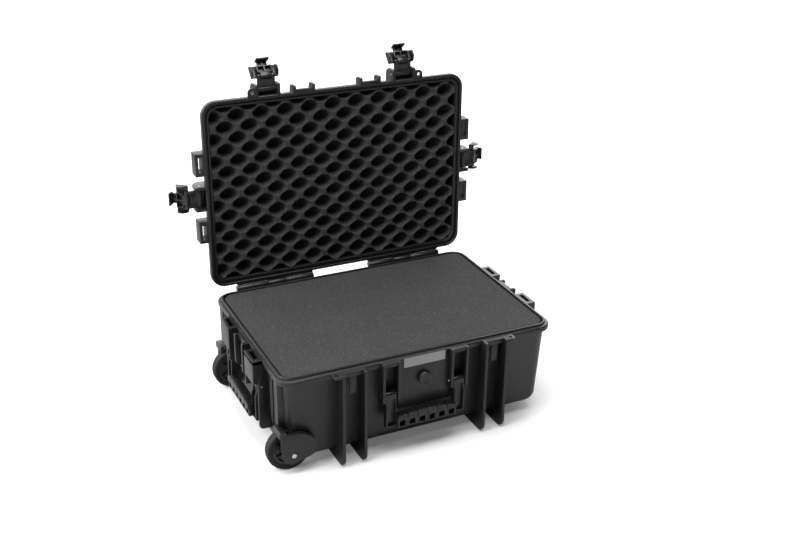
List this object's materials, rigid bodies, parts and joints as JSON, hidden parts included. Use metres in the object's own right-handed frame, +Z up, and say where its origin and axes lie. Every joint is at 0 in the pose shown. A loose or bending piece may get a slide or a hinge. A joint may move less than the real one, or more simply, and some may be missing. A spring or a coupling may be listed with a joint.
{
  "type": "wheeled carrying case",
  "caption": "Black moulded wheeled hard case with its hinged lid open, foam lining, snap latches, folding carry handles and a pull-out trolley handle.",
  "frame": {"origin": "on the floor, at the middle of the box around the case as it stands with its lid open", "axes": "+X along the case towards the trolley handle's end, -Y out of the front with its latches and label, +Z up; the wheels are at -X"},
  "size_m": [0.717, 0.4968, 0.6769],
  "materials": {
    "black_plastic": "moulded, fine satin grain",
    "latch_plastic": "moulded, satin",
    "steel": "bright ground bar",
    "tube_aluminium": "anodised, satin",
    "grey_foam": "open-cell foam, cut face, matte",
    "dark_foam": "open-cell convoluted foam, matte",
    "seal_rubber": "extruded rubber, matte",
    "tyre_rubber": "moulded rubber, satin",
    "plate_grey": "blank plate, light satin grey"
  },
  "bodies": {
    "base": {"base_shell": "black_plastic", "foam_bottom": "grey_foam", "foam_middle": "grey_foam", "foam_top": "grey_foam", "name_plate": "plate_grey", "valve_body": "latch_plastic", "hinge_pin_left": "steel", "hinge_pin_right": "steel", "wheel_housing_front": "black_plastic", "wheel_housing_rear": "black_plastic", "wheel_axle_front": "steel", "wheel_axle_rear": "steel", "trolley_tray": "black_plastic", "trolley_bezel": "black_plastic", "trolley_outer_tube_front": "tube_aluminium", "trolley_outer_tube_rear": "tube_aluminium"},
    "lid": {"lid_shell": "black_plastic", "lid_seal": "seal_rubber", "lid_foam": "dark_foam"},
    "latch_arm_front_left": {"latch_arm_front_left": "latch_plastic", "latch_pin_front_left": "steel"},
    "latch_lever_front_left": {"latch_lever_front_left": "latch_plastic", "lever_pin_front_left": "steel"},
    "latch_arm_front_right": {"latch_arm_front_right": "latch_plastic", "latch_pin_front_right": "steel"},
    "latch_lever_front_right": {"latch_lever_front_right": "latch_plastic", "lever_pin_front_right": "steel"},
    "latch_arm_end_left": {"latch_arm_end_left": "latch_plastic", "latch_pin_end_left": "steel"},
    "latch_lever_end_left": {"latch_lever_end_left": "latch_plastic", "lever_pin_end_left": "steel"},
    "latch_arm_end_right": {"latch_arm_end_right": "latch_plastic", "latch_pin_end_right": "steel"},
    "latch_lever_end_right": {"latch_lever_end_right": "latch_plastic", "lever_pin_end_right": "steel"},
    "front_handle": {"front_handle": "latch_plastic", "front_handle_pin_left": "steel", "front_handle_pin_right": "steel"},
    "side_handle": {"side_handle": "latch_plastic", "side_handle_pin_left": "steel", "side_handle_pin_right": "steel"},
    "wheel_front": {"wheel_hub_front": "latch_plastic", "wheel_tyre_front": "tyre_rubber", "wheel_bush_front": "steel"},
    "wheel_rear": {"wheel_hub_rear": "latch_plastic", "wheel_tyre_rear": "tyre_rubber", "wheel_bush_rear": "steel"},
    "trolley_middle": {"trolley_middle_tube_front": "tube_aluminium", "trolley_middle_tube_rear": "tube_aluminium"},
    "trolley_inner": {"trolley_inner_tube_front": "tube_aluminium", "trolley_inner_tube_rear": "tube_aluminium", "trolley_grip": "black_plastic"},
    "trolley_button": {"trolley_button": "latch_plastic"},
    "valve_knob": {"valve_knob": "latch_plastic"}
  },
  "joints": [
    {"name": "lid_hinge", "type": "hinge", "parent": "base", "child": "lid", "pos_m": [0, 0.17811, 0.201], "axis": [1, 0, 0], "range_deg": [0, 91]},
    {"name": "latch_arm_front_left_hinge", "type": "hinge", "parent": "lid", "child": "latch_arm_front_left", "pos_m": [-0.1495, 0.19739, 0.61773], "axis": [1, 0, 0], "range_deg": [0, 90]},
    {"name": "latch_lever_front_left_hinge", "type": "hinge", "parent": "latch_arm_front_left", "child": "latch_lever_front_left", "pos_m": [-0.1495, 0.19784, 0.64372], "axis": [1, 0, 0], "range_deg": [0, 40]},
    {"name": "latch_arm_front_right_hinge", "type": "hinge", "parent": "lid", "child": "latch_arm_front_right", "pos_m": [0.1495, 0.19739, 0.61773], "axis": [1, 0, 0], "range_deg": [0, 90]},
    {"name": "latch_lever_front_right_hinge", "type": "hinge", "parent": "latch_arm_front_right", "child": "latch_lever_front_right", "pos_m": [0.1495, 0.19784, 0.64372], "axis": [1, 0, 0], "range_deg": [0, 40]},
    {"name": "latch_arm_end_left_hinge", "type": "hinge", "parent": "lid", "child": "latch_arm_end_left", "pos_m": [-0.299, 0.19374, 0.40876], "axis": [0, 0.0175, 0.9998], "range_deg": [0, 90]},
    {"name": "latch_lever_end_left_hinge", "type": "hinge", "parent": "latch_arm_end_left", "child": "latch_lever_end_left", "pos_m": [-0.325, 0.19374, 0.40876], "axis": [0, 0.0175, 0.9998], "range_deg": [0, 40]},
    {"name": "latch_arm_end_right_hinge", "type": "hinge", "parent": "lid", "child": "latch_arm_end_right", "pos_m": [0.299, 0.19374, 0.40876], "axis": [0, -0.0175, -0.9998], "range_deg": [0, 90]},
    {"name": "latch_lever_end_right_hinge", "type": "hinge", "parent": "latch_arm_end_right", "child": "latch_lever_end_right", "pos_m": [0.325, 0.19374, 0.40876], "axis": [0, -0.0175, -0.9998], "range_deg": [0, 40]},
    {"name": "front_handle_hinge", "type": "hinge", "parent": "base", "child": "front_handle", "pos_m": [0, -0.22939, 0.13], "axis": [-1, 0, 0], "range_deg": [0, 90]},
    {"name": "side_handle_hinge", "type": "hinge", "parent": "base", "child": "side_handle", "pos_m": [-0.2895, -0.02989, 0.143], "axis": [0, 1, 0], "range_deg": [0, 90]},
    {"name": "wheel_front_spin", "type": "hinge", "parent": "base", "child": "wheel_front", "pos_m": [-0.2655, -0.19489, 0.044], "axis": [0, 1, 0], "continuous": true},
    {"name": "wheel_rear_spin", "type": "hinge", "parent": "base", "child": "wheel_rear", "pos_m": [-0.2655, 0.13511, 0.044], "axis": [0, 1, 0], "continuous": true},
    {"name": "trolley_middle_slide", "type": "slide", "parent": "base", "child": "trolley_middle", "axis": [1, 0, 0], "range_m": [0, 0.27]},
    {"name": "trolley_inner_slide", "type": "slide", "parent": "trolley_middle", "child": "trolley_inner", "axis": [1, 0, 0], "range_m": [0, 0.27]},
    {"name": "trolley_button_press", "type": "slide", "parent": "trolley_inner", "child": "trolley_button", "axis": [-1, 0, 0], "range_m": [0, 0.003], "stiffness_N_per_m": 500},
    {"name": "valve_knob_turn", "type": "hinge", "parent": "base", "child": "valve_knob", "pos_m": [-0.001, -0.22889, 0.152], "axis": [0, -1, 0], "range_deg": [0, 90]}
  ]
}
